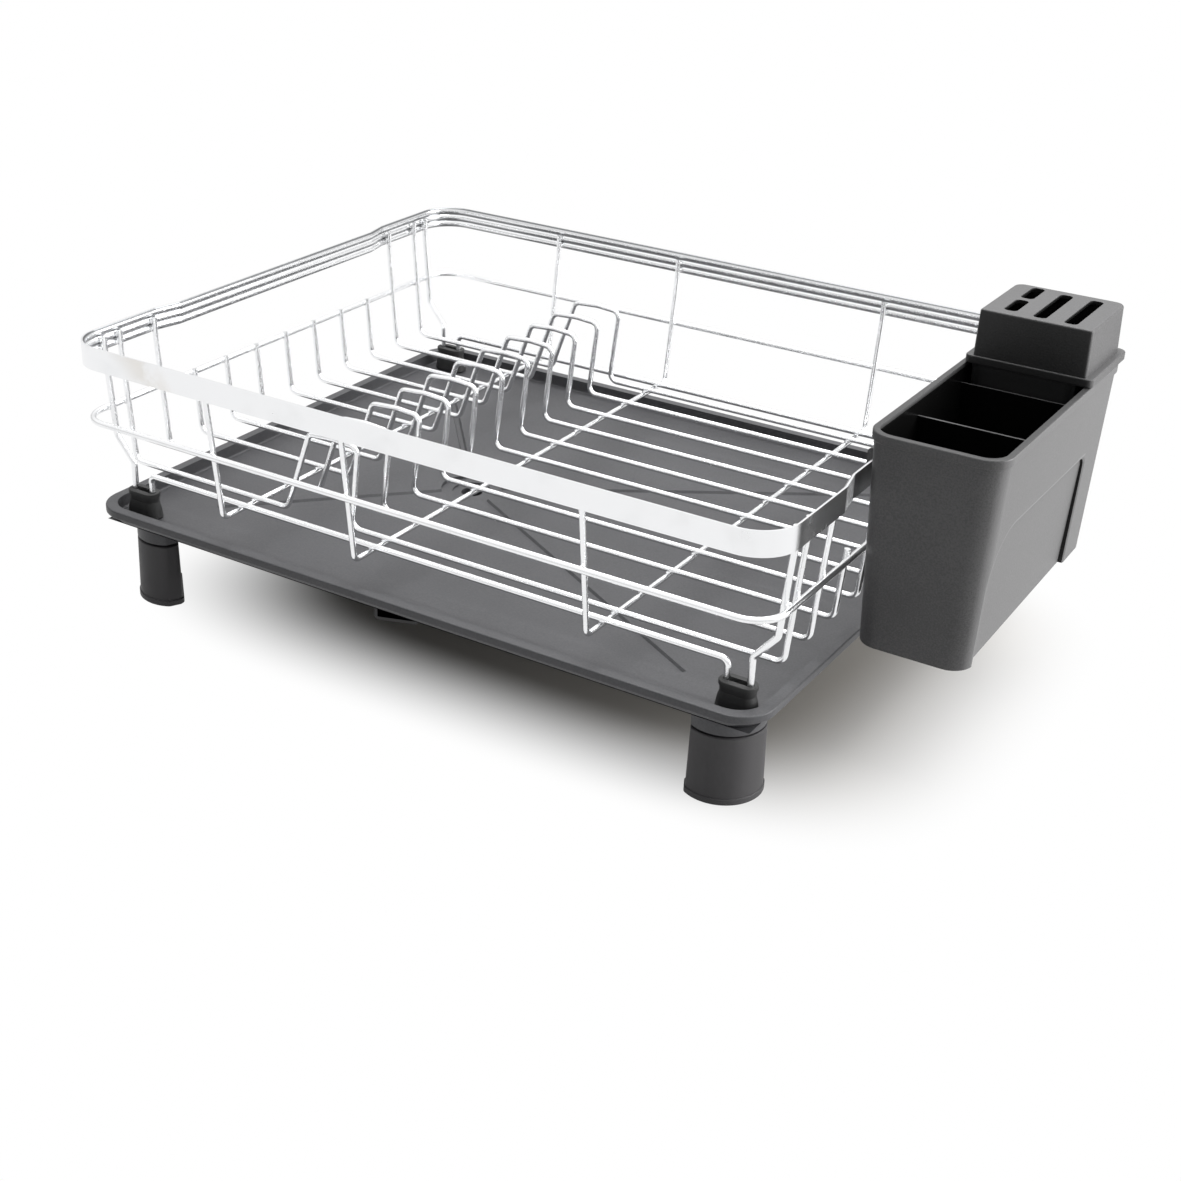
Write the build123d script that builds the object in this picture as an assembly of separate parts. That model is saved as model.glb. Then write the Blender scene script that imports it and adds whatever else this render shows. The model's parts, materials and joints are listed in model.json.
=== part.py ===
"""Counter-top dish drying rack: drip tray with swivel spout, wire basket, cutlery holder and knife block.

Millimetres, +Z up, standing on z = 0. +X runs along the long side towards the cutlery holder, +Y to the back.
Pieces are built about the middle of the tray or of the basket and moved to the rack's middle when saved.
"""

import os
from math import atan2, cos, degrees, radians, sin, tan

from build123d import *

# ---------------------------------------------------------------- drip tray
tray_inside_rim_x = 4.7  # how far the tray's lip is inside the basket's rim
tray_inside_rim_y = 5.6
tray_corner = 20.0  # corner radius of the lip in plan
lip_top = 60.4  # height of the lip above the counter
lip_drop = 4.6  # height of the lip's outer side
lip_width = 6.3
lip_round = 0.9
basin_depth = 7.8  # from the lip down to the floor beside the wall
basin_corner = 15.0
basin_fillet = 1.2
tray_wall = 2.0
belly_fillet = 4.0  # under the basin's edge
floor_fall = 6.2  # how far the floor falls from the wall to the drain
drain_offset = 68.0  # drain centre, towards -X from the middle of the tray
channel_width = 4.6
channel_base = 2.4
channel_depth = 1.3
channel_end_gap = 64.0  # from a corner of the basin back to the end of its channel
dish_radius = 19.0
dish_drop = 1.1
collar_step_radius = 12.0
collar_step_drop = 1.1
drain_radius = 6.6

# ---------------------------------------------------------------- tray feet
foot_inset_x = 25.2  # from the tray's end to the middle of a foot
foot_inset_y = 26.5
foot_half_length = 20.0  # across the diagonal of the tray
foot_half_width = 11.5
foot_end_lean = 3.0
foot_shoulder = 7.5
foot_corner = 3.6
foot_height = 39.4  # from the counter to the joint under the tray
foot_flare = 0.8  # how much wider the sleeve is at the counter
foot_band = 3.6  # raised band round the bottom of the sleeve
foot_band_out = 0.5
joint_bevel = 0.5
joint_gap = 1.5  # open line between the sleeve and the tray
sleeve_wall = 2.8
sleeve_floor = 4.0
spigot_clearance = 0.1

# ---------------------------------------------------------------- swivel spout
neck_radius = 9.6
neck_length = 6.0
bead_out = 1.1
bead_height = 1.6
flow_room = 4.9  # between the neck and the floor of the spout
swivel_clearance = 0.15
spout_wall = 1.7
spout_reach = 151.0  # drain axis to the mouth
spout_width = 25.4
spout_height = 11.6
spout_corner = 2.4
cup_radius = 15.5
spout_gap = 0.5  # between the cup and the underside of the tray
spout_turn = 18.8  # degrees from the front towards +X, as parked

# ---------------------------------------------------------------- wire basket
basket_play = 1.1  # how far the basket stands from the middle of the tray, towards +X
wire = 3.2  # long and cross wires
heavy_wire = 3.6  # belt and leg wires
long_wire_count = 11
wire_pitch = 28.3
cross_wire_x = (-120.9, -28.9, 116.0)
cross_wire_height = 74.8  # centre line of the bottom run
basket_foot_gap = 0.3  # between a basket foot and the tray's floor
riser_spread_x = 5.9  # how far a long wire leans out between the bottom and the rim
riser_spread_y = 8.8
bend_long = 5.0
bend_cross = 4.0
belt_height = 114.3
belt_corner = 17.0
rim_top = 161.2
rim_height = 13.4
rim_half_x = 220.7  # outer face
rim_half_y = 180.6
rim_corner = 22.0
rim_skin = 1.0
rim_rib = 1.2
rim_ribs = 3
recess_depth = 3.4  # short sides step inwards for the hooks
recess_beside_holder = 2.5
recess_ramp = 16.5
recess_bend = 5.0
riser_below_rim_top = 4.0
riser_kink_below_rim = 2.5
riser_bend = 12.0
riser_above_belt = 3.4
hump_left = -96.6  # foot of the sloping leg of each plate hump
hump_right = -51.2
hump_lean_left = 17.2
hump_lean_right = 5.0
hump_height = 49.4  # top of the hump's path above the bottom run
hump_crown = 1.2
hump_bow = 5.0  # how far the row of humps bows towards -X at the back
hump_bend = 5.2
hump_top_bend = 4.5
hump_crown_radius = 40.0
leg_inside_rim_y = 26.4  # from the rim's outer face to a leg wire
leg_inside_rim_x = 32.9  # from the rim's outer face to the inner side of its foot
leg_turn_width = 12.8
leg_shoulder_height = 98.0
leg_knee_height = 83.6
leg_bend = 4.0
leg_belt_gap = 0.02
leg_turn_bend = 6.0

# ---------------------------------------------------------------- basket feet
boot_half_length = 9.7
boot_half_width = 5.0
boot_flare = 1.6
boot_height = 15.2
boot_sole = 1.8
boot_lip = 2.4
boot_lip_out = 0.5
boot_waist = 0.6
boot_slot_clearance = 0.2

# ---------------------------------------------------------------- cutlery holder
holder_gap = 1.0  # between the recessed rim and the holder's rim
holder_width = 70.0  # along X, over its rim
holder_length = 180.0  # along Y, over its rim
holder_top = 182.6
holder_height = 113.2
holder_corner = 13.0
holder_wall = 2.4
holder_floor = 2.4
holder_rim_height = 5.0
holder_rim_out = 0.9
holder_rim_round = 1.3
holder_draft_inner = 4.2  # how much each side comes in at the bottom
holder_draft_outer = 4.6
holder_draft_ends = 1.2
holder_bottom_rise = 6.0  # the bottom falls by this much from the back to the front
divider_thick = 1.3
divider_y = (-29.6, 29.3)
divider_below_rim = 10.0
panel_front = -77.0
panel_back = 54.5
panel_top = 138.0
panel_front_round = 27.0
panel_back_round = 6.0
panel_depth = 1.8  # at its upper edge
panel_deepens = 1.0  # how much deeper it is at the bottom
panel_edge = 1.3  # width of the bevel round the panel
panel_edge_depth = 0.5
holder_panel_backing = 2.4  # wall left behind the panel
hook_y = 58.0
hook_width = 14.0
hook_thick = 3.0
hook_drop = 11.0
hook_over_gap = 0.3  # between the hook and the top of the rim
hook_side_gap = 0.8

# ---------------------------------------------------------------- knife block
block_front = 31.5  # front of its flange along Y
block_seat_gap = 0.3
block_flange = 4.5
block_flange_out = 0.6  # how far the flange stands out past the holder's rim
block_flange_near_in = 2.4  # and how far it stops short of it beside the basket
block_flange_corner = 5.0
block_flange_front_corner = 3.0
block_flange_round = 0.7
block_height = 25.0  # above the flange
block_inset_near = 6.4  # body in from the holder's rim
block_inset_far = 3.2
block_inset_back = 0.6
block_front_set = 0.9
block_draft_x = 0.5
block_draft_y = 0.6
block_corner = 5.5  # at the back; the front corners are tighter
block_front_corner = 1.4
block_top_round = 1.2
block_wall = 2.0
block_tongue = 18.0  # how far the body reaches down into the holder
block_tongue_clearance = 0.8
slot_width = 7.2
slot_pitch = 16.3
slot_front = 37.2
slot_long = 45.6
slot_short = 21.0
slot_short_gap = 4.0
slot_short_set_back = 2.2
slot_round = 2.6

# ---------------------------------------------------------------- worked out from the values above
tray_half_x = rim_half_x - tray_inside_rim_x
tray_half_y = rim_half_y - tray_inside_rim_y
basin_half_x = tray_half_x - lip_width
basin_half_y = tray_half_y - lip_width
floor_edge = lip_top - basin_depth
drain_level = floor_edge - floor_fall
drain_x = -drain_offset
dish_level = drain_level - dish_drop
step_level = dish_level - collar_step_drop
underside = drain_level - tray_wall - dish_drop - collar_step_drop
foot_x = tray_half_x - foot_inset_x
foot_y = tray_half_y - foot_inset_y
sleeve_top = foot_height - joint_gap
neck_bottom = underside - neck_length
cup_top = underside - spout_gap
spout_bottom = neck_bottom - flow_room - spout_wall
spout_top = spout_bottom + spout_height

long_wire_height = cross_wire_height + wire
leg_wire_height = cross_wire_height + (wire + heavy_wire) / 2
rim_bottom = rim_top - rim_height
rim_inner = rim_skin + rim_rib
riser_half_x = rim_half_x - rim_inner - wire / 2
riser_half_y = rim_half_y - rim_inner - wire / 2
bottom_half_x = riser_half_x - riser_spread_x
bottom_half_y = riser_half_y - riser_spread_y
recess_half = holder_length / 2 + recess_beside_holder
kink_height = rim_bottom - riser_kink_below_rim
riser_top = rim_top - riser_below_rim_top
belt_share_x = (belt_height - long_wire_height) / (kink_height - long_wire_height)
belt_share_y = (belt_height - cross_wire_height) / (kink_height - cross_wire_height)
riser_lean_x = atan2(riser_half_x - bottom_half_x, kink_height - long_wire_height)
riser_lean_y = atan2(riser_half_y - bottom_half_y, kink_height - cross_wire_height)
belt_half_x = (
    bottom_half_x
    + (riser_half_x - bottom_half_x) * belt_share_x
    + (wire + heavy_wire) / 2 / cos(riser_lean_x)
)
belt_half_y = (
    bottom_half_y
    + (riser_half_y - bottom_half_y) * belt_share_y
    + (wire + heavy_wire) / 2 / cos(riser_lean_y)
)
front_wire_y = -wire_pitch * (long_wire_count - 1) / 2
leg_rim_half_x = rim_half_x - rim_inner - heavy_wire / 2
leg_belt_half_x = belt_half_x - heavy_wire / cos(riser_lean_x) - leg_belt_gap
leg_lean = (leg_rim_half_x - leg_belt_half_x) / (kink_height - belt_height)
leg_shoulder_half_x = leg_belt_half_x - leg_lean * (belt_height - leg_shoulder_height)
leg_wire_half_y = rim_half_y - leg_inside_rim_y
leg_inner_x = rim_half_x - leg_inside_rim_x
leg_outer_x = leg_inner_x + leg_turn_width
boot_x = (leg_inner_x + leg_outer_x) / 2
boot_bottom = floor_edge + basket_foot_gap
boot_top = boot_bottom + boot_height
leg_turn_height = boot_bottom + boot_sole + heavy_wire / 2

holder_bottom = holder_top - holder_height
holder_near = rim_half_x - recess_depth + holder_gap
holder_far = holder_near + holder_width
holder_x = (holder_near + holder_far) / 2
flange_bottom = holder_top + block_seat_gap
flange_top = flange_bottom + block_flange
block_top = flange_top + block_height
rack_x = (rim_half_x - holder_far - block_flange_out) / 2  # moves the whole rack's middle to x = 0
tray_x = rack_x - basket_play
SIDES = (-1, 1)


def save(name, shape, move=rack_x):
    """Writes one piece, moved along X so that the whole rack is centred on x = 0."""
    export_step(Pos(move, 0, 0) * shape, f"parts/{name}.step")


def rounded_block(half_x, half_y, corner, low, high, x=0, y=0):
    """Upright block with rounded corners in plan, about x, y."""
    return Pos(x, y, low) * extrude(RectangleRounded(2 * half_x, 2 * half_y, corner), high - low)


def upright_edges(block, front):
    """The two edges that run up the block's corners, on its front or on its back."""
    edges = block.edges().filter_by(lambda edge: abs((edge % 0.5).Z) > 0.9).sort_by(Axis.Y)
    return edges[:2] if front else edges[-2:]


def drafted_block(low_box, high_box, corner, low, high):
    """Block whose plan goes from low_box to high_box, each (x0, x1, y0, y1)."""
    faces = []
    for (x0, x1, y0, y1), z in ((low_box, low), (high_box, high)):
        size = (x1 - x0, y1 - y0)
        plan = RectangleRounded(*size, corner) if corner else Rectangle(*size)
        faces.append(Pos((x0 + x1) / 2, (y0 + y1) / 2, z) * plan)
    return loft(faces, ruled=True)


def bent_wire(points, radii, diameter):
    """Round wire along straight runs joined by bends."""
    path = FilletPolyline(*points, radius=radii)
    section = Plane(origin=path @ 0, z_dir=path % 0) * Circle(diameter / 2)
    return sweep(section, path=path)


# ---------------------------------------------------------------- drip tray and its feet
def floor_shape(drop):
    """Space above the falling floor, lowered by drop: four planes that meet at the drain."""
    wide = Pos(0, 0, floor_edge - drop) * Rectangle(2 * basin_half_x, 2 * basin_half_y)
    narrow = Pos(drain_x, 0, drain_level - drop) * Rectangle(1, 1)
    return loft([wide, narrow], ruled=True)


def foot_plan(inset):
    """Plan of a tray foot, bowed towards the tray's corner and flat towards its middle."""
    reach, half = foot_half_length - inset, foot_half_width - inset
    shoulder = foot_half_width - foot_shoulder
    outline = ThreePointArc((-reach, -shoulder), (0, half), (reach, -shoulder))
    outline += Polyline(
        (reach, -shoulder),
        (reach - foot_end_lean, -half),
        (-reach + foot_end_lean, -half),
        (-reach, -shoulder),
    )
    plan = make_face(outline)
    return fillet(plan.vertices(), foot_corner - inset / 2)


def at_foot(side_x, side_y):
    """Place of one tray foot: its bowed side points out of the tray's corner."""
    turn = degrees(atan2(side_y, side_x)) - 90
    return Pos(side_x * foot_x, side_y * foot_y, 0) * Rot(0, 0, turn)


def channel(side_x, side_y):
    """Narrow channel with sloping sides, from the drain towards one corner of the basin."""
    start = Vector(drain_x, 0, drain_level)
    corner = Vector(side_x * basin_half_x, side_y * basin_half_y, floor_edge)
    way = corner - start
    run = way * ((way.length - channel_end_gap) / way.length)
    spread = channel_width - channel_base / 2
    section = Plane(origin=start, x_dir=Vector(0, 0, 1).cross(way), z_dir=way) * Polygon(
        (-spread, channel_depth),
        (-channel_base / 2, -channel_depth),
        (channel_base / 2, -channel_depth),
        (spread, channel_depth),
        align=None,
    )
    return extrude(section, amount=run.length)


def drip_tray():
    lip = rounded_block(tray_half_x, tray_half_y, tray_corner, lip_top - lip_drop, lip_top)
    rims = lip.edges().filter_by(Plane.XY)
    lip = fillet(rims, lip_round)
    belly_low = floor_edge - tray_wall
    belly = rounded_block(
        basin_half_x + tray_wall, basin_half_y + tray_wall, basin_corner + tray_wall, belly_low, lip_top - 1
    )
    belly = fillet(belly.faces().sort_by(Axis.Z)[0].edges(), belly_fillet)
    tray = lip + belly + floor_shape(tray_wall)
    tray += Pos(drain_x, 0, underside) * extrude(Circle(dish_radius + tray_wall), floor_edge - underside)
    tray += Pos(drain_x, 0, neck_bottom) * extrude(Circle(neck_radius), neck_length)
    bead = Pos(drain_x, 0, neck_bottom) * extrude(Circle(neck_radius + bead_out), bead_height)
    tray += bead
    for side_x in SIDES:
        for side_y in SIDES:
            boss = extrude(foot_plan(0), belly_low + 1 - foot_height)
            spigot = extrude(foot_plan(sleeve_wall + spigot_clearance), sleeve_floor - foot_height)
            post = Pos(0, 0, foot_height) * (boss + spigot)
            tray += at_foot(side_x, side_y) * post
    basin = rounded_block(basin_half_x, basin_half_y, basin_corner, floor_edge, lip_top + 1)
    basin = fillet(basin.faces().sort_by(Axis.Z)[0].edges(), basin_fillet)
    fall = floor_shape(0) & rounded_block(
        basin_half_x - basin_fillet,
        basin_half_y - basin_fillet,
        basin_corner - basin_fillet,
        drain_level - 1,
        floor_edge,
    )
    tray -= basin
    tray -= fall
    for side_x in SIDES:
        for side_y in SIDES:
            tray -= channel(side_x, side_y)
    tray -= Pos(drain_x, 0, dish_level) * extrude(Circle(dish_radius), floor_edge - dish_level)
    tray -= Pos(drain_x, 0, step_level) * extrude(Circle(collar_step_radius), floor_edge - step_level)
    tray -= Pos(drain_x, 0, neck_bottom) * extrude(Circle(drain_radius), floor_edge - neck_bottom)
    return tray


def foot_sleeve():
    """Rubber sleeve that is pushed over the tray's spigot."""
    top, bottom = foot_plan(0), foot_plan(-foot_flare)
    sleeve = loft([bottom, Pos(0, 0, sleeve_top) * top], ruled=True)
    sleeve = chamfer(sleeve.faces().sort_by(Axis.Z)[-1].edges(), joint_bevel)
    band = extrude(foot_plan(-foot_flare - foot_band_out), foot_band)
    band = chamfer(band.edges().filter_by(Plane.XY), foot_band_out * 0.8)
    pocket = extrude(foot_plan(sleeve_wall), foot_height - sleeve_floor + 1)
    return sleeve + band - Pos(0, 0, sleeve_floor) * pocket


# ---------------------------------------------------------------- swivel spout
def drain_spout():
    """Spout along -Y from the drain axis: a cup that turns on the neck, and a channel to the mouth."""
    room = cup_radius - spout_wall
    seat = neck_bottom + bead_height + swivel_clearance - spout_bottom
    cup = extrude(Circle(cup_radius), cup_top - spout_bottom)
    tube = Pos(0, -spout_reach / 2, 0) * extrude(Rectangle(spout_width, spout_reach), spout_height)
    tube = fillet(tube.edges().filter_by(Axis.Y), spout_corner)
    inner_width = spout_width - 2 * spout_wall
    inner_height = spout_height - 2 * spout_wall
    bore = Pos(0, -spout_reach / 2 - room, spout_wall) * extrude(
        Rectangle(inner_width, spout_reach), inner_height
    )
    bore = fillet(bore.edges().filter_by(Axis.Y), spout_corner - spout_wall)
    gate = Pos(0, -room / 2, spout_wall) * extrude(Rectangle(inner_width, room + 2), seat - spout_wall)
    well = Pos(0, 0, spout_wall) * extrude(Circle(room), seat - spout_wall)
    collar = Pos(0, 0, spout_wall) * extrude(Circle(neck_radius + swivel_clearance), spout_height * 2)
    spout = cup + tube - bore - gate - well - collar
    return Pos(drain_x, 0, spout_bottom) * Rot(0, 0, spout_turn) * spout


# ---------------------------------------------------------------- wire basket
def rim_outline(inset):
    """Plan of the rim band's outer face, moved inwards by inset, with its two recessed short sides."""
    x, y = rim_half_x - inset, rim_half_y - inset
    deep = x - recess_depth
    half = recess_half
    out = recess_half + recess_ramp
    right = [(x, -y), (x, -out), (deep, -half), (deep, half), (x, out), (x, y)]
    points = right + [(-a, -b) for a, b in right]
    corner = max(rim_corner - inset, 1)
    side = [corner] + [recess_bend] * 4 + [corner]
    return FilletPolyline(*points, radius=side * 2, close=True)


def rim_band():
    """Flat band with half-round ribs along its inner face."""
    path = rim_outline(0)
    rib = rim_height / rim_ribs
    low = -rim_height / 2
    outline = Polyline((rim_skin, low), (0, low), (0, -low), (rim_skin, -low))
    for n in range(rim_ribs):
        top = -low - n * rib
        outline += ThreePointArc(
            (rim_skin, top), (rim_skin + rim_rib, top - rib / 2), (rim_skin, top - rib)
        )
    section = make_face(outline)
    start, along = path @ 0, path % 0
    inward = Vector(0, 0, 1).cross(along)
    place = Plane(origin=start, x_dir=inward, z_dir=inward.cross(Vector(0, 0, 1)))
    return Pos(0, 0, rim_top - rim_height / 2) * sweep(place * section, path=path)


def belt_wire():
    """Closed wire ring at mid height, outside the risers."""
    path = RectangleRounded(2 * belt_half_x, 2 * belt_half_y, belt_corner).wire()
    start, along = path @ 0, path % 0
    ring = sweep(Plane(origin=start, z_dir=along) * Circle(heavy_wire / 2), path=path)
    return Pos(0, 0, belt_height) * ring


def hump(y):
    """Points and bend radii of a plate hump, from its sloping leg to its steep leg."""
    base = long_wire_height
    top = base + hump_height
    share = (y - front_wire_y) / (wire_pitch * (long_wire_count - 1))
    low_left, low_right = (x - hump_bow * share**2 for x in (hump_left, hump_right))
    left, right = low_left + hump_lean_left, low_right + hump_lean_right
    points = [
        (low_left, y, base),
        (left, y, top - hump_crown),
        ((left + right) / 2, y, top),
        (right, y, top - hump_crown),
        (low_right, y, base),
    ]
    return points, [hump_bend, hump_top_bend, hump_crown_radius, hump_top_bend, hump_bend]


def long_wire(y, to_rim):
    """Wire along X: up one short side, along the bottom with a plate hump, and up the other side."""
    humps, hump_radii = hump(y)
    start, end, radii = [], [], []
    if to_rim:
        ends = [(riser_half_x, riser_top), (riser_half_x, kink_height)]
        radii = [riser_bend]
    else:
        high = belt_height + riser_above_belt
        ends = [(bottom_half_x + (high - long_wire_height) * tan(riser_lean_x), high)]
    ends.append((bottom_half_x, long_wire_height))
    start = [(-x, y, z) for x, z in ends]
    end = [(x, y, z) for x, z in reversed(ends)]
    radii = radii + [bend_long] + hump_radii + [bend_long] + radii
    return bent_wire(start + humps + end, radii, wire)


def cross_wire(x):
    """Wire along Y under the long wires, up the front and the back to the rim."""
    ends = [
        (riser_half_y, riser_top),
        (riser_half_y, kink_height),
        (bottom_half_y, cross_wire_height),
    ]
    points = [(x, -y, z) for y, z in ends] + [(x, y, z) for y, z in reversed(ends)]
    return bent_wire(points, [riser_bend, bend_cross, bend_cross, riser_bend], wire)


def leg_wire(y):
    """Wire along X, front or back, that turns down into a basket foot at each end and up to the rim."""
    ends = [
        (leg_rim_half_x, riser_top),
        (leg_rim_half_x, kink_height),
        (leg_shoulder_half_x, leg_shoulder_height),
        (leg_outer_x, leg_knee_height),
        (leg_outer_x, leg_turn_height),
        (leg_inner_x, leg_turn_height),
        (leg_inner_x, leg_wire_height),
    ]
    points = [(-x, y, z) for x, z in ends] + [(x, y, z) for x, z in reversed(ends)]
    side = [riser_bend, leg_bend, leg_bend, leg_turn_bend, leg_turn_bend, leg_bend]
    return bent_wire(points, side + side[::-1], heavy_wire)


def basket_foot(x, y):
    """Rubber boot that is pushed over the turn of a leg wire."""
    levels = (
        (0, boot_flare),
        (boot_height * 0.35, boot_flare * 0.5),
        (boot_height * 0.62, -boot_waist * 0.5),
        (boot_height - boot_lip, 0),
    )
    plans = []
    for z, out in levels:
        half = boot_half_width + out * 0.6
        plans.append(Pos(0, 0, z) * RectangleRounded(2 * (boot_half_length + out), 2 * half, half * 0.92))
    boot = loft(plans, ruled=True)
    lip_x, lip_y = boot_half_length + boot_lip_out, boot_half_width + boot_lip_out
    boot += rounded_block(lip_x, lip_y, lip_y * 0.92, boot_height - boot_lip, boot_height)
    boot = fillet(boot.faces().sort_by(Axis.Z)[-1].edges(), boot_lip_out)
    half_slot = heavy_wire / 2 + boot_slot_clearance
    slot_x = (leg_outer_x - leg_inner_x) / 2 + half_slot
    slot = rounded_block(slot_x, half_slot, half_slot * 0.98, boot_sole, boot_height + 1)
    return Pos(x, y, boot_bottom) * (boot - slot)


# ---------------------------------------------------------------- cutlery holder
def holder_box(inset, far_extra=0.0, low=0.0):
    """Plan of the holder below its rim, moved inwards by inset; low = 1 at the bottom, 0 at the top."""
    side = holder_rim_out + inset
    return (
        holder_near + side + holder_draft_inner * low,
        holder_far - side - (holder_draft_outer + far_extra) * low,
        -holder_length / 2 + side + holder_draft_ends * low,
        holder_length / 2 - side - holder_draft_ends * low,
    )


def outer_plane(depth, deepens=0.0):
    """Plane on the holder's outer face, sunk by depth at the panel's top and deepens more at the bottom."""
    lean = holder_draft_outer / holder_height
    more = deepens / (panel_top - holder_bottom)
    foot_x = holder_far - holder_rim_out - lean * holder_top - depth - more * panel_top
    return Plane(origin=(foot_x, 0, 0), x_dir=(0, 1, 0), z_dir=(1, 0, -lean - more))


def panel_outline(grow):
    """Outline of the sunk panel, grown by grow: round at its front upper corner, open at the bottom."""
    low = holder_bottom - 5
    front, back, top = panel_front - grow, panel_back + grow, panel_top + grow
    outline = Polygon((front, low), (back, low), (back, top), (front, top), align=None)
    corners = outline.vertices().sort_by(Axis.Y)[2:].sort_by(Axis.X)
    outline = fillet(corners[0], panel_front_round + grow)
    back_top = outline.vertices().sort_by(Axis.X)[-2:].sort_by(Axis.Y)[-1]
    return fillet(back_top, panel_back_round + grow)


def panel_cut():
    """Space of the sunk panel, deeper towards the bottom, with a bevel round its edge."""
    floor = outer_plane(panel_depth, panel_deepens) * panel_outline(0)
    sunk = extrude(floor, 3 * panel_depth + panel_deepens)
    faces = []
    for share in (2.0, -0.2):  # the bevel runs from inside the sunk space to just outside the face
        faces.append(outer_plane(share * panel_edge_depth) * panel_outline((1 - share) * panel_edge))
    return sunk + loft(faces, ruled=True)


def under_bottom(lift):
    """Space below the holder's sloping bottom, raised by lift."""
    front, back = -holder_length / 2, holder_length / 2
    low = holder_bottom + lift
    side = Plane.YZ.offset(holder_near) * Polygon(
        (front, low - holder_floor),
        (back, low - holder_floor),
        (back, low + holder_bottom_rise),
        (front, low),
        align=None,
    )
    return extrude(side, holder_width)


def holder_hook(y):
    """Hook on the holder's inner side that drops over the recessed rim."""
    inner = rim_half_x - recess_depth - rim_inner - hook_side_gap
    low = rim_top + hook_over_gap
    root = holder_near + holder_rim_out + holder_wall / 2
    arm = Pos((inner - hook_thick + root) / 2, y, low + hook_thick / 2) * Box(
        root - inner + hook_thick, hook_width, hook_thick
    )
    drop = Pos(inner - hook_thick / 2, y, low - hook_drop / 2) * Box(hook_thick, hook_width, hook_drop)
    hook = arm + drop
    outer = hook.edges().filter_by(Axis.Y).sort_by(Axis.X)[:2]
    return fillet(outer.sort_by(Axis.Z)[-1], hook_thick * 0.8)


def cutlery_holder():
    corner = holder_corner - holder_rim_out
    holder = drafted_block(holder_box(0, low=1), holder_box(0), corner, holder_bottom, holder_top)
    rim = rounded_block(
        holder_width / 2,
        holder_length / 2,
        holder_corner,
        holder_top - holder_rim_height,
        holder_top,
        holder_x,
    )
    rim_edges = rim.edges().filter_by(Plane.XY)
    rim = fillet(rim_edges, holder_rim_out * 0.9)
    holder += rim
    holder -= panel_cut()
    backing = holder_panel_backing + panel_depth + panel_deepens - holder_wall
    cavity = drafted_block(
        holder_box(holder_wall, far_extra=backing, low=1),
        holder_box(holder_wall),
        corner - holder_wall,
        holder_bottom + holder_floor,
        holder_top + 0.01,
    )
    inner_x = holder_width / 2 - holder_rim_out
    for y in divider_y:
        plate = Pos(holder_x, y, (holder_bottom + holder_top - divider_below_rim) / 2) * Box(
            2 * inner_x, divider_thick, holder_height - divider_below_rim
        )
        cavity -= plate
    holder -= cavity - under_bottom(holder_floor)
    holder -= under_bottom(0)
    for side in SIDES:
        holder += holder_hook(side * hook_y)
    return holder


# ---------------------------------------------------------------- knife block
def knife_block():
    """Cap over the back of the holder, with a tapered body and slots for blades."""
    back = holder_length / 2
    near, far = holder_near, holder_far
    side, end = near + block_flange_near_in, far + block_flange_out
    depth = back + block_flange_out - block_front
    flange = Pos((side + end) / 2, block_front + depth / 2, flange_bottom) * extrude(
        Rectangle(end - side, depth), block_flange
    )
    flange = fillet(upright_edges(flange, front=False), block_flange_corner)
    flange = fillet(upright_edges(flange, front=True), block_flange_front_corner)
    flange = fillet(flange.edges().filter_by(Plane.XY), block_flange_round)
    front = block_front + block_front_set
    foot_box = (near + block_inset_near, far - block_inset_far, front, back - block_inset_back)
    top_box = (
        foot_box[0] + block_draft_x,
        foot_box[1] - block_draft_x,
        foot_box[2] + block_draft_y,
        foot_box[3] - block_draft_y,
    )
    body = drafted_block(foot_box, top_box, 0, flange_top - 0.5, block_top)
    body = fillet(upright_edges(body, front=False), block_corner)
    body = fillet(upright_edges(body, front=True), block_front_corner)
    body = fillet(body.faces().sort_by(Axis.Z)[-1].edges(), block_top_round)
    inside = holder_rim_out + holder_wall + block_tongue_clearance
    tongue_corner = holder_corner - inside
    tongue_box = (near + inside, far - inside - 1, front, back - inside)
    tongue_low = tuple(v + d for v, d in zip(tongue_box, (1.0, -1.2, 0.4, -0.6)))
    tongue = drafted_block(
        tongue_low, tongue_box, tongue_corner, flange_bottom - block_tongue, flange_bottom + 0.5
    )
    block = flange + body + tongue
    hollow_low = tuple(v + s * block_wall for v, s in zip(tongue_low, (1, -1, 1, -1)))
    hollow_high = tuple(v + s * (block_wall + 0.6) for v, s in zip(top_box, (1, -1, 1, -1)))
    hollow = drafted_block(
        hollow_low,
        hollow_high,
        tongue_corner - block_wall,
        flange_bottom - block_tongue - 0.01,
        block_top - block_wall,
    )
    block -= hollow
    cuts = [(0, slot_front, slot_long), (slot_pitch, slot_front, slot_long)]
    first = slot_front + slot_short_set_back
    cuts.append((-slot_pitch, first, slot_short))
    cuts.append((-slot_pitch, first + slot_short + slot_short_gap, slot_short))
    middle = (top_box[0] + top_box[1]) / 2
    for shift, start, length in cuts:
        block -= rounded_block(
            slot_width / 2,
            length / 2,
            slot_round,
            block_top - block_wall - 1,
            block_top + 1,
            middle + shift,
            start + length / 2,
        )
    return block


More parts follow.
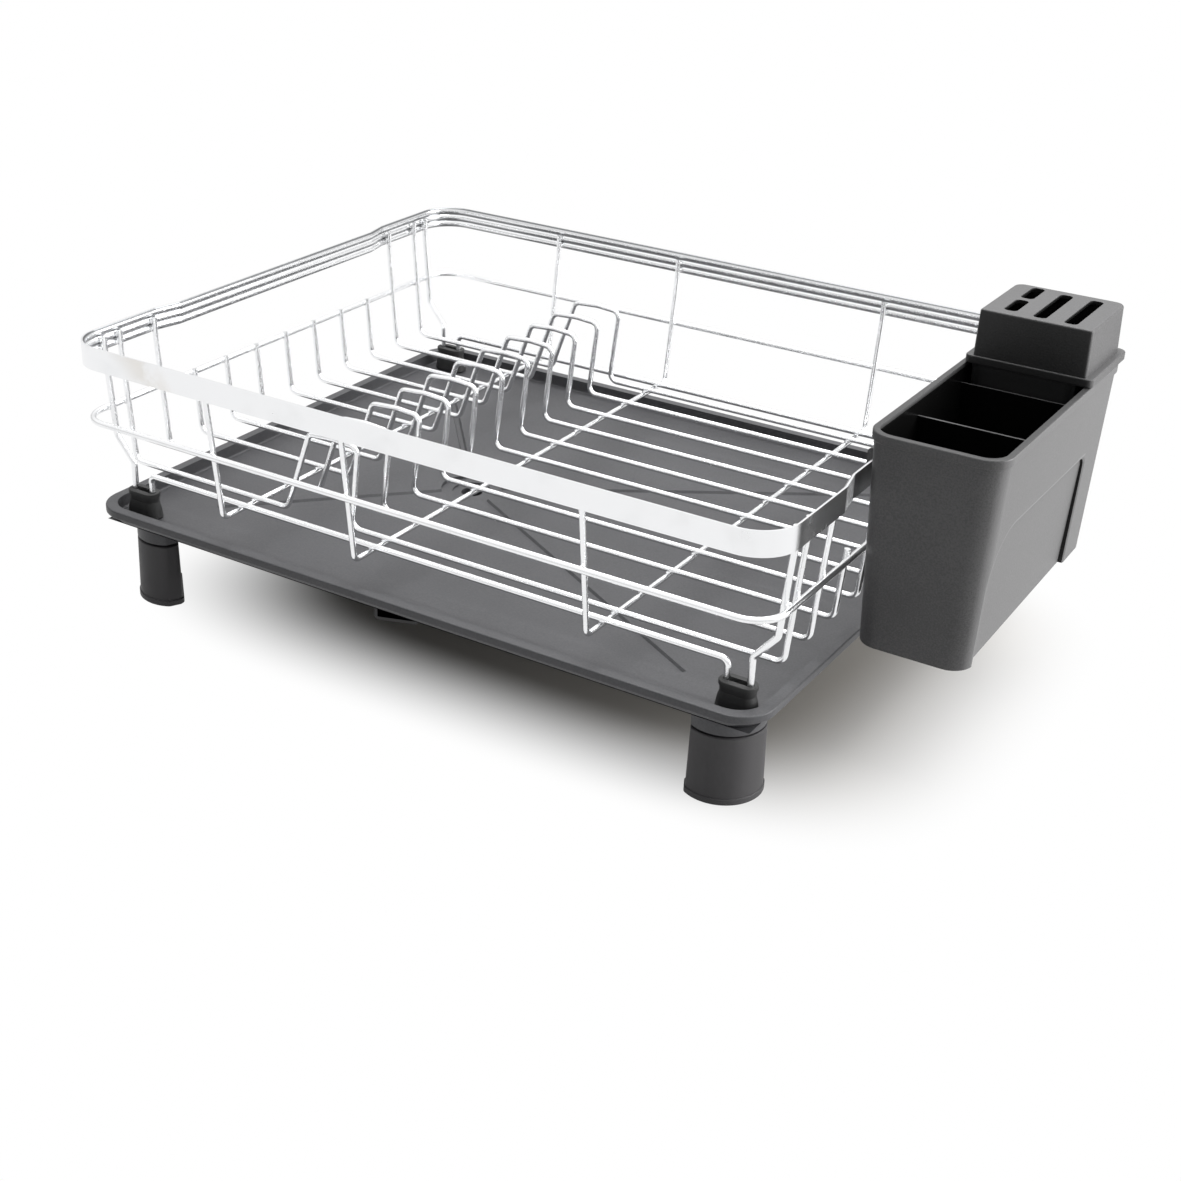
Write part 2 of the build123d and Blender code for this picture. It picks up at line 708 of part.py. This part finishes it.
# ---------------------------------------------------------------- all the pieces
def main():
    os.makedirs("parts", exist_ok=True)
    save("drip_tray", drip_tray(), tray_x)
    sleeve = foot_sleeve()
    boots = {}
    for side_x, end in zip(SIDES, ("left", "right")):
        for side_y, face in zip(SIDES, ("front", "back")):
            save(f"tray_foot_{face}_{end}", at_foot(side_x, side_y) * sleeve, tray_x)
            boots[f"basket_foot_{face}_{end}"] = basket_foot(side_x * boot_x, side_y * leg_wire_half_y)
    save("drain_spout", drain_spout(), tray_x)
    save("rim_band", rim_band())
    save("belt_wire", belt_wire())
    for n in range(long_wire_count):
        to_rim = n < 2 or n >= long_wire_count - 2
        save(f"long_wire_{n + 1:02d}", long_wire(front_wire_y + n * wire_pitch, to_rim))
    for x, name in zip(cross_wire_x, ("left", "middle", "right")):
        save(f"cross_wire_{name}", cross_wire(x))
    save("leg_wire_front", leg_wire(-leg_wire_half_y))
    save("leg_wire_back", leg_wire(leg_wire_half_y))
    for name, boot in boots.items():
        save(name, boot)
    save("cutlery_holder", cutlery_holder())
    save("knife_block", knife_block())


main()
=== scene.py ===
import json
from math import cos, sin
from random import Random

import bmesh
import bpy
from mathutils import Matrix, Vector

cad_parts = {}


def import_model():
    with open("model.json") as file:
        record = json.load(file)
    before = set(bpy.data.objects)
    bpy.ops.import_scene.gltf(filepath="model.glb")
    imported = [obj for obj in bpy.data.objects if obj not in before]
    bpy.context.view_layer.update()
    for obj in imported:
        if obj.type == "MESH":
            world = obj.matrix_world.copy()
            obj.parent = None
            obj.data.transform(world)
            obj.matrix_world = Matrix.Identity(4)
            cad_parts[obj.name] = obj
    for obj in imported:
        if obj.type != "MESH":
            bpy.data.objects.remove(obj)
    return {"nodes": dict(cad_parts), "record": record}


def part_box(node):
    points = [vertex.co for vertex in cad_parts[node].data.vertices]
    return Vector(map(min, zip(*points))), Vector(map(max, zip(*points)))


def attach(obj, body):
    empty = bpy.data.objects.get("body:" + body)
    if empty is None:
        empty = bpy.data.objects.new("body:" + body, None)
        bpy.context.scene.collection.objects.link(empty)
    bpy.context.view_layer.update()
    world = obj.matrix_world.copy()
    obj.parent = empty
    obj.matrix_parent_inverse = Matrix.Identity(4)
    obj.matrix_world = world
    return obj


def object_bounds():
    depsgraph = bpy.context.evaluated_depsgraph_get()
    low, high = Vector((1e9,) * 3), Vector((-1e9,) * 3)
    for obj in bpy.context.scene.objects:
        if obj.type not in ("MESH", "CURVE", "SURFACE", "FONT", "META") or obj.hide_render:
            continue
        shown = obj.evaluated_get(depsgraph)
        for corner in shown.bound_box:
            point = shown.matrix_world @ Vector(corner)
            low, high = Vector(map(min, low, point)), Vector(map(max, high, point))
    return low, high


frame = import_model()
cad_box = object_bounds()
nodes = frame["nodes"]

WELD = 0.0019  # radius of a weld bead
RIM_WELDS = (1 / 6, 1 / 2)  # heights of the welds on the rim band, as shares of its height
RIM_THICK = 0.0022
RIM_RIBS = 3
HOLDER_WIDTH = 0.070  # over its rim, without the hooks
HOLDER_RIM_OUT = 0.0009
HOLDER_LEANS = (0.0042, 0.0046, 0.0012)  # how far the near side, far side and ends come in at the bottom
HOLDER_CORNER = 0.0121
DIVIDER_DROP = 0.0115  # from the holder's rim to just below the dividers' top edges
PANEL_FRONT = 0.0117  # the sunk panel's edges, from the holder's front, back and top
PANEL_BACK = 0.0342
PANEL_TOP = 0.0433
PANEL_ROUND = 0.0283
PANEL_DEPTH = 0.0014
BLOCK_INSETS = (0.0045, 0.0043, 0.0015, 0.0018)  # knife block's body inside its flange: -X, +X, -Y, +Y
STAIN = 0.052  # from the left end of the rim band to a dull stain on its front
FLOOR_SHADOW = 0.58  # where the shadow starts to fade and where it ends, in half lengths of the rack
FLOOR_WHITE = 1.08
# the floor as the camera sees it, dark enough to paint a deeper shadow round the rack
FLOOR_SHADE_COLOR = (0.42, 0.40, 0.37)
FLOOR_MIRRORED = (0.93, 0.92, 0.91)  # as the plating reflects it
FLOOR_BOUNCE = (0.50, 0.495, 0.49)  # what it throws back on the rack's dark sides
FILL = 0.21  # strengths of the world's light
WALL = 0.6
CEILING = 1.1

# painted reflection of the dark tray, laid in the rim band's inner grooves
PAINTED_DARK_REFLECTION = (0.07, 0.075, 0.08)
DULL_STAIN = (0.70, 0.66, 0.60)
CLOUDED_METAL = (0.66, 0.68, 0.70)
HOLDER_PAINTED_SIDE_LIGHT = (0.165, 0.164, 0.165)  # painted light on its right side, which faces the lamps
# painted shade inside the holder, below its rim
HOLDER_INSIDE_SHADE = (0.004, 0.004, 0.004)
HOLDER_RIM_TOP = (0.03, 0.03, 0.03)
# painted highlight along the sunk panel's edge
PANEL_EDGE_HIGHLIGHT = (0.22, 0.22, 0.22)
BLOCK_TOP_PAINTED_LIGHT = (0.150, 0.149, 0.150)  # painted light on its top
# painted shade on the knife block's front
BLOCK_FRONT_SHADE = (0.020, 0.020, 0.020)
# painted shade down the knife block's slots
SLOT_SHADE = (0.005, 0.005, 0.005)


class Amount:
    """A number or vector that varies over a surface: an output socket that takes part in sums."""

    def __init__(self, look, socket):
        self.look, self.socket = look, socket

    def math(self, operation, *others):
        values = dict(enumerate((self, *others)))
        return self.look.node("ShaderNodeMath", {"operation": operation}, values)

    def __add__(self, other):
        return self.math("ADD", other)

    def __sub__(self, other):
        return self.math("SUBTRACT", other)

    def __rsub__(self, other):
        return self.look.node("ShaderNodeMath", {"operation": "SUBTRACT"}, {0: other, 1: self})

    def __mul__(self, other):
        return self.math("MULTIPLY", other)

    def __truediv__(self, other):
        return self.math("DIVIDE", other)

    def __pow__(self, other):
        return self.math("POWER", other)

    __radd__ = __add__
    __rmul__ = __mul__

    def ramp(self, low, high, to_low=0.0, to_high=1.0):
        """Maps low..high to to_low..to_high, smoothly and without running past either end."""
        settings = {"interpolation_type": "SMOOTHSTEP"}
        return self.look.node(
            "ShaderNodeMapRange", settings, {0: self, 1: low, 2: high, 3: to_low, 4: to_high}
        )


class Look:
    """A procedural material. Its principled shader takes constants, and amounts that vary."""

    def __init__(self, name, **shader):
        self.material = bpy.data.materials.new(name)
        self.material.use_nodes = True
        self.tree = self.material.node_tree
        self.shader = self.tree.nodes["Principled BSDF"]
        self.set(**shader)
        self.place = self.node("ShaderNodeTexCoord", {}, {}, "Object")
        self.facing = self.node("ShaderNodeTexCoord", {}, {}, "Normal")
        self.tone = self.rough = None  # its varying base colour and roughness, once it has them

    def give(self, socket, value):
        if isinstance(value, Amount):
            self.tree.links.new(value.socket, socket)
        elif isinstance(value, tuple) and len(value) == 3 and socket.type == "RGBA":
            socket.default_value = (*value, 1.0)
        else:
            socket.default_value = value

    def node(self, kind, settings, values, output=0):
        """Adds a node, applies its settings, fills its inputs and returns one of its outputs."""
        made = self.tree.nodes.new(kind)
        for name, value in settings.items():
            setattr(made, name, value)
        for key, value in values.items():
            self.give(made.inputs[key], value)
        return Amount(self, made.outputs[output])

    def set(self, **shader):
        for socket, value in shader.items():
            label = socket.replace("_", " ").title().replace("Ior", "IOR")
            self.give(self.shader.inputs[label], value)

    def noise(self, scale, detail=3.0, roughness=0.55, stretch=(1, 1, 1)):
        at = self.place
        if stretch != (1, 1, 1):
            at = self.node("ShaderNodeVectorMath", {"operation": "MULTIPLY"}, {0: at, 1: stretch})
        return self.node(
            "ShaderNodeTexNoise",
            {},
            {"Vector": at, "Scale": scale, "Detail": detail, "Roughness": roughness},
        )

    def part(self, vector, axis):
        """One coordinate of a vector, 0 to 2."""
        return self.node("ShaderNodeSeparateXYZ", {}, {0: vector}, axis)

    def outward(self, middle):
        """How squarely the surface faces away from the vertical line through middle, in metres."""
        away_x, away_y = (self.part(self.place, n) - middle[n] for n in (0, 1))
        return away_x * self.part(self.facing, 0) + away_y * self.part(self.facing, 1)

    def inset(self, gap, other_gap, radius):
        """Distance in from a rounded corner's outline, from the distances to its two sides."""
        short, other_short = radius - gap, radius - other_gap
        round_part = (short.math("MAXIMUM", 0) ** 2 + other_short.math("MAXIMUM", 0) ** 2) ** 0.5
        return radius - round_part - short.math("MAXIMUM", other_short).math("MINIMUM", 0)

    def paint(self, amount, color):
        """Lays a colour over the base colour, as strongly as amount says."""
        self.tone = self.blend(amount, self.tone, color)
        self.set(base_color=self.tone)

    def cells(self, scale, output="Distance"):
        return self.node("ShaderNodeTexVoronoi", {}, {"Vector": self.place, "Scale": scale}, output)

    def blend(self, amount, first, second):
        return self.node(
            "ShaderNodeMix", {"data_type": "RGBA"}, {0: amount, 6: first, 7: second}, 2
        )

    def bump(self, height, distance, strength=1.0, under=None):
        values = {"Height": height, "Distance": distance, "Strength": strength}
        if under:
            values["Normal"] = under
        made = self.node("ShaderNodeBump", {}, values)
        self.give(self.shader.inputs["Normal"], made)
        return made


def plating(name):
    """Bright plating with a soft haze of dried water."""
    look = Look(name, metallic=1.0)
    haze = look.noise(38, 4.0).ramp(0.48, 0.75)
    smears = look.noise(160, 3.0).ramp(0.5, 0.7)
    look.tone = look.blend(haze * 0.5, (0.90, 0.905, 0.915), (0.82, 0.825, 0.83))
    look.set(base_color=look.tone, roughness=0.22 + haze * 0.06 + smears * 0.03)
    pits = look.cells(1100).ramp(0.0, 0.12)
    look.bump(pits, 0.000008, 0.1)
    return look


def band_plating():
    """The rim band's plating: painted dark reflection in its inner ribs' grooves, with a dull stain in
    front.
    """
    look = plating("chrome_band")
    low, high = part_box("rim_band")
    x, y, z = (look.part(look.place, n) for n in range(3))
    outward = look.outward((low + high) / 2)
    rib = ((z - low.z) * (RIM_RIBS / (high.z - low.z))).math("FRACT")
    # Painted reflection: the lower part of each inner rib and a strip along the inner top edge are
    # darkened, standing in for the dark tray mirrored in them.
    groove = rib.ramp(0.14, 0.46, 1, 0).math("MAXIMUM", (high.z - z).ramp(0.0005, 0.0014, 1, 0))
    look.paint(groove * outward.ramp(-0.06, -0.02, 1, 0) * 0.85, PAINTED_DARK_REFLECTION)
    front = outward.ramp(0.02, 0.06) * y.ramp(low.y, low.y + 0.03, 1, 0)
    patch = (x + z - (low.x + STAIN + high.z)).math("ABSOLUTE").ramp(0.0, 0.024, 1, 0)
    look.paint(patch * front * look.noise(70, 3.0).ramp(0.3, 0.6) * 0.5, DULL_STAIN)
    cloud = (x - low.x).ramp(0.02, 0.09, 1, 0) * look.noise(30, 3.0).ramp(0.4, 0.7)
    look.paint(cloud * front * 0.25, CLOUDED_METAL)
    return look


CASE_GRAIN = (0.42, 1100, 0.00012, 0.35)  # roughness, grain's scale and depth, gloss


def grained(name, dark, light, rough, grain_scale, grain, gloss_level=0.5):
    """Moulded plastic with a fine spark-eroded grain, uneven gloss and slight clouding."""
    look = Look(name, specular_ior_level=gloss_level)
    cloud = look.noise(14, 4.0)
    fine = look.noise(grain_scale, 2.0, 0.6)
    speck = look.cells(grain_scale * 0.9)
    look.tone = look.blend((cloud * 0.45 + fine * 0.55).ramp(0.36, 0.64), dark, light)
    look.rough = rough + cloud * 0.10 - speck * 0.06
    look.set(base_color=look.tone, roughness=look.rough)
    look.bump(fine * 0.7 + speck * 0.5, grain, 0.6)
    return look


def holder_plastic():
    """The holder's grained plastic: painted shade inside, painted light on its right and panel edge."""
    look = grained("holder_plastic", (0.068, 0.067, 0.068), (0.100, 0.099, 0.100), *CASE_GRAIN)
    low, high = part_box("cutlery_holder")
    near = high.x - HOLDER_WIDTH
    x, y, z = (look.part(look.place, n) for n in range(3))
    up = look.part(look.facing, 2)
    down = (high.z - z) / (high.z - low.z)
    near_lean, far_lean, end_lean = HOLDER_LEANS
    in_near = x - (near + HOLDER_RIM_OUT) - down * near_lean
    in_far = (high.x - HOLDER_RIM_OUT) - x - down * far_lean - PANEL_DEPTH
    in_ends = (high.y - HOLDER_RIM_OUT) - y.math("ABSOLUTE") - down * end_lean
    deep = look.inset(in_near.math("MINIMUM", in_far), in_ends, HOLDER_CORNER).ramp(0.0020, 0.0024)
    inner = look.outward(((near + high.x) / 2, 0)).ramp(-0.012, -0.006, 1, 0)
    edge = up.ramp(0.6, 0.9) * (high.z - z).ramp(DIVIDER_DROP - 0.0005, DIVIDER_DROP, 1, 0)
    inside = deep.math("MAXIMUM", inner) * (high.z - z).ramp(0.0004, 0.003) * (1 - edge)
    # Painted light: the right side is made lighter, as if more strongly lit.
    look.paint(look.part(look.facing, 0).ramp(0.7, 0.95) * 0.55, HOLDER_PAINTED_SIDE_LIGHT)
    # Painted shade: the inside, below the rim, is made near black.
    look.paint(inside, HOLDER_INSIDE_SHADE)
    look.set(roughness=look.rough - inside * 0.2)
    rim_top = up.ramp(0.5, 0.9) * (high.z - z).ramp(0.0006, 0.0012, 1, 0)
    look.paint(rim_top * 0.6, HOLDER_RIM_TOP)
    # Painted highlight: a light line along the sunk panel's front and top edge stands in for its rounded
    # edge catching the light.
    outline = look.inset(y - (low.y + PANEL_FRONT), (high.z - PANEL_TOP) - z, PANEL_ROUND)
    on_side = look.part(look.facing, 0).ramp(0.5, 0.8)
    line = outline.math("ABSOLUTE").ramp(0.0003, 0.0007, 1, 0) * on_side
    back = high.y - PANEL_BACK
    look.paint(line * y.ramp(back - 0.004, back, 1, 0) * 0.8, PANEL_EDGE_HIGHLIGHT)
    return look


def block_plastic():
    """The knife block's grained plastic: painted light on top, painted shade in front and in its slots.
    """
    look = grained("block_plastic", (0.068, 0.067, 0.068), (0.100, 0.099, 0.100), *CASE_GRAIN)
    low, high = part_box("knife_block")
    x, y, z = (look.part(look.place, n) for n in range(3))
    gaps = [x - low.x, high.x - x, y - low.y, high.y - y]
    inside = gaps[0] - BLOCK_INSETS[0]
    for gap, inset in zip(gaps[1:], BLOCK_INSETS[1:]):
        inside = inside.math("MINIMUM", gap - inset)
    # Painted light: the top is made lighter.
    look.paint(look.part(look.facing, 2).ramp(0.7, 0.95) * 0.5, BLOCK_TOP_PAINTED_LIGHT)
    # Painted shade: the front is made darker.
    look.paint(look.part(look.facing, 1).ramp(-0.95, -0.7, 1, 0) * 0.9, BLOCK_FRONT_SHADE)
    # Painted shade: the slots are made near black inside.
    look.paint(inside.ramp(0.0012, 0.0020) * (high.z - z).ramp(0.0003, 0.0008), SLOT_SHADE)
    return look


def rubber(name, dark, light):
    """Matt rubber with dust in its pores."""
    look = Look(name, specular_ior_level=0.35)
    dust = look.noise(60, 5.0, 0.65).ramp(0.5, 0.8)
    pores = look.cells(1500).ramp(0.0, 0.35)
    streak = look.noise(45, 3.0, 0.5, (1, 1, 0.12)).ramp(0.35, 0.7)
    tone = look.blend(dust * 0.5 + streak * 0.5, dark, light)
    look.set(base_color=tone, roughness=0.55 + dust * 0.2)
    look.bump(pores + look.noise(700, 2.0) * 0.6, 0.00005, 0.5)
    return look


def gloss(name, dark, light, rough):
    """Smooth moulded plastic with faint flow marks and wiped smears."""
    look = Look(name, specular_ior_level=0.5)
    flow = look.noise(22, 3.0, 0.5, (1, 3.5, 1))
    smear = look.noise(55, 4.0, 0.6).ramp(0.45, 0.72)
    look.set(
        base_color=look.blend(flow.ramp(0.3, 0.7), dark, light), roughness=rough + smear * 0.12
    )
    look.bump(flow * 0.4 + look.noise(420, 2.0) * 0.35, 0.00012, 0.35)
    return look


looks = {
    "wire_chrome": plating("chrome_wire"),
    "tray_plastic": grained(
        "tray_plastic", (0.066, 0.066, 0.070), (0.084, 0.084, 0.089), 0.45, 900, 0.00005, 0.4
    ),
    "foot_rubber": rubber("foot_rubber", (0.055, 0.053, 0.055), (0.084, 0.081, 0.084)),
    "spout_plastic": gloss("spout_plastic", (0.006, 0.006, 0.007), (0.010, 0.010, 0.011), 0.3),
    "boot_rubber": rubber("boot_rubber", (0.030, 0.030, 0.030), (0.058, 0.058, 0.058)),
    "holder_plastic": holder_plastic(),
    "block_plastic": block_plastic(),
}
slots = {part["node"]: part["material_slot"] for part in frame["record"]["subparts"]}
own_looks = {"rim_band": band_plating()}
for name, solid in nodes.items():
    solid.data.materials.clear()
    solid.data.materials.append(own_looks.get(name, looks[slots[name]]).material)


def floor():
    """Ground that keeps the rack's shadow, deepened near it by a painted shadow, and runs out to plain
    white.
    """
    reach = 4.0
    plane = bpy.data.meshes.new("floor")
    corners = [(-reach, -reach, 0), (reach, -reach, 0), (reach, reach, 0), (-reach, reach, 0)]
    plane.from_pydata(corners, [], [(0, 1, 2, 3)])
    ground = bpy.data.objects.new("floor", plane)
    bpy.context.scene.collection.objects.link(ground)
    look = Look("floor", roughness=0.9, specular_ior_level=0.1)
    path = {}
    for ray in ("Is Camera Ray", "Is Glossy Ray"):
        path[ray] = look.node("ShaderNodeLightPath", {}, {}, ray)
    shown = path["Is Camera Ray"].math("MAXIMUM", path["Is Glossy Ray"])
    # Painted shadow: the camera sees the floor in a dark colour, which fades to white away from the
    # rack.
    seen = look.blend(path["Is Camera Ray"], FLOOR_BOUNCE, FLOOR_SHADE_COLOR)
    look.set(base_color=look.blend(path["Is Glossy Ray"], seen, FLOOR_MIRRORED))
    half_x, half_y = (cad_box[1][0] - cad_box[0][0]) / 2, (cad_box[1][1] - cad_box[0][1]) / 2
    along = look.part(look.place, 0) / half_x
    across = look.part(look.place, 1) / half_y
    away = (along**4 + across**4) ** 0.25
    white = look.node("ShaderNodeEmission", {}, {"Color": (1, 1, 1, 1), "Strength": 1.0})
    lit = Amount(look, look.shader.outputs[0])
    fade = away.ramp(FLOOR_SHADOW, FLOOR_WHITE) * shown
    mixed = look.node("ShaderNodeMixShader", {}, {0: fade, 1: lit, 2: white})
    look.give(look.tree.nodes["Material Output"].inputs["Surface"], mixed)
    ground.data.materials.append(look.material)


def box_of(name):
    """Lowest and highest corner of a CAD node."""
    solid = nodes[name]
    corners = [solid.matrix_world @ Vector(c) for c in solid.bound_box]
    return [Vector(pick(c[axis] for c in corners) for axis in range(3)) for pick in (min, max)]


def welds():
    """Flattened beads where the basket's wires cross, and where they meet its belt and its rim."""
    longs = [box_of(n) for n in sorted(nodes) if n.startswith("long_wire")]
    crosses = [box_of(n) for n in sorted(nodes) if n.startswith("cross_wire")]
    legs = [box_of(n) for n in sorted(nodes) if n.startswith("leg_wire")]
    belt, rim = box_of("belt_wire"), box_of("rim_band")
    belt_wire, belt_z = belt[1].z - belt[0].z, (belt[0].z + belt[1].z) / 2
    rim_heights = [rim[0].z + share * (rim[1].z - rim[0].z) for share in RIM_WELDS]
    spots = []  # place, and the axis along which the bead is flat
    for low, high in crosses:
        x = (low.x + high.x) / 2
        for one in longs:
            spots.append(((x, (one[0].y + one[1].y) / 2, low.z + high.x - low.x), 2))
        for side in (-1, 1):
            spots.append(((x, side * (belt[1].y - belt_wire), belt_z), 1))
            for z in rim_heights:
                spots.append(((x, side * (rim[1].y - RIM_THICK), z), 1))
    for low, high in longs + legs:
        y = (low.y + high.y) / 2
        for end in (0, 1):
            inward = 1 - 2 * end
            spots.append(((belt[end].x + inward * belt_wire, y, belt_z), 0))
            if high.z > rim[0].z:
                for z in rim_heights:
                    spots.append(((rim[end].x + inward * RIM_THICK, y, z), 0))
    mesh = bmesh.new()
    chance = Random(5)
    for place, flat in spots:
        size = [WELD * chance.uniform(0.9, 1.15) for _ in range(3)]
        size[flat] *= 0.6
        matrix = Matrix.Translation(place) @ Matrix.Diagonal((*size, 1))
        bmesh.ops.create_icosphere(mesh, subdivisions=2, radius=1, matrix=matrix)
    for face in mesh.faces:
        face.smooth = True
    data = bpy.data.meshes.new("welds")
    mesh.to_mesh(data)
    mesh.free()
    beads = bpy.data.objects.new("welds", data)
    bpy.context.scene.collection.objects.link(beads)
    data.materials.append(looks["wire_chrome"].material)
    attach(beads, "basket")


def area_light(name, place, target, width, height, power):
    lamp = bpy.data.lights.new(name, "AREA")
    lamp.shape = "RECTANGLE"
    lamp.size, lamp.size_y = width, height
    lamp.energy = power
    obj = bpy.data.objects.new(name, lamp)
    obj.location = place
    obj.rotation_euler = (Vector(target) - Vector(place)).to_track_quat("-Z", "Y").to_euler()
    bpy.context.scene.collection.objects.link(obj)


def world():
    """White to the camera, a room with a pale ceiling in reflections, a weaker fill on surfaces."""
    scene = bpy.context.scene
    scene.world = bpy.data.worlds.new("studio")
    scene.world.use_nodes = True
    tree = scene.world.node_tree
    tree.nodes.clear()
    path = tree.nodes.new("ShaderNodeLightPath")
    out = tree.nodes.new("ShaderNodeOutputWorld")
    shades = {}
    for name, color, strength in (
        ("fill", (0.93, 0.96, 1.0), FILL),
        ("room", (1.0, 1.0, 1.0), 1.0),
        ("backdrop", (1.0, 1.0, 1.0), 1.0),
    ):
        shades[name] = tree.nodes.new("ShaderNodeBackground")
        shades[name].inputs[0].default_value = (*color, 1)
        shades[name].inputs[1].default_value = strength
    place = tree.nodes.new("ShaderNodeTexCoord")
    split = tree.nodes.new("ShaderNodeSeparateXYZ")
    height = tree.nodes.new("ShaderNodeMapRange")
    tree.links.new(place.outputs["Generated"], split.inputs[0])
    tree.links.new(split.outputs["Z"], height.inputs[0])
    for socket, value in zip(list(height.inputs)[1:5], (0.0, 0.55, WALL, CEILING)):
        socket.default_value = value
    tree.links.new(height.outputs[0], shades["room"].inputs[1])
    previous = shades["fill"].outputs[0]
    for name, ray in (("room", "Is Glossy Ray"), ("backdrop", "Is Camera Ray")):
        mix = tree.nodes.new("ShaderNodeMixShader")
        tree.links.new(path.outputs[ray], mix.inputs[0])
        tree.links.new(previous, mix.inputs[1])
        tree.links.new(shades[name].outputs[0], mix.inputs[2])
        previous = mix.outputs[0]
    tree.links.new(previous, out.inputs[0])


def camera():
    """Front right of the rack, looking down at it."""
    yaw, pitch, roll = 0.5594, 0.4677, 0.0289
    ahead = Vector((-sin(yaw) * cos(pitch), cos(yaw) * cos(pitch), -sin(pitch)))
    right = Vector((cos(yaw), sin(yaw), 0))
    up = right.cross(ahead)
    across = right * cos(roll) + up * sin(roll)
    upward = up * cos(roll) - right * sin(roll)
    data = bpy.data.cameras.new("camera")
    data.sensor_width = 36
    data.lens = 56.49
    data.shift_x, data.shift_y = 0.0411, -0.0013
    data.clip_start, data.clip_end = 0.05, 20
    obj = bpy.data.objects.new("camera", data)
    obj.matrix_world = Matrix.Translation((0.4922, -0.8660, 0.5086)) @ Matrix(
        (across, upward, -ahead)
    ).transposed().to_4x4()
    bpy.context.scene.collection.objects.link(obj)
    bpy.context.scene.camera = obj


welds()
floor()
world()
camera()
area_light("right_box", (1.35, 0.50, 0.5), (0.1, 0, 0.1), 1.1, 0.8, 25)
area_light("top_box", (0.0, 0.45, 1.7), (0, 0, 0), 1.8, 1.5, 40)
view = bpy.context.scene.view_settings
view.view_transform = "Standard"
view.look = "None"
view.exposure, view.gamma = 0.0, 1.0
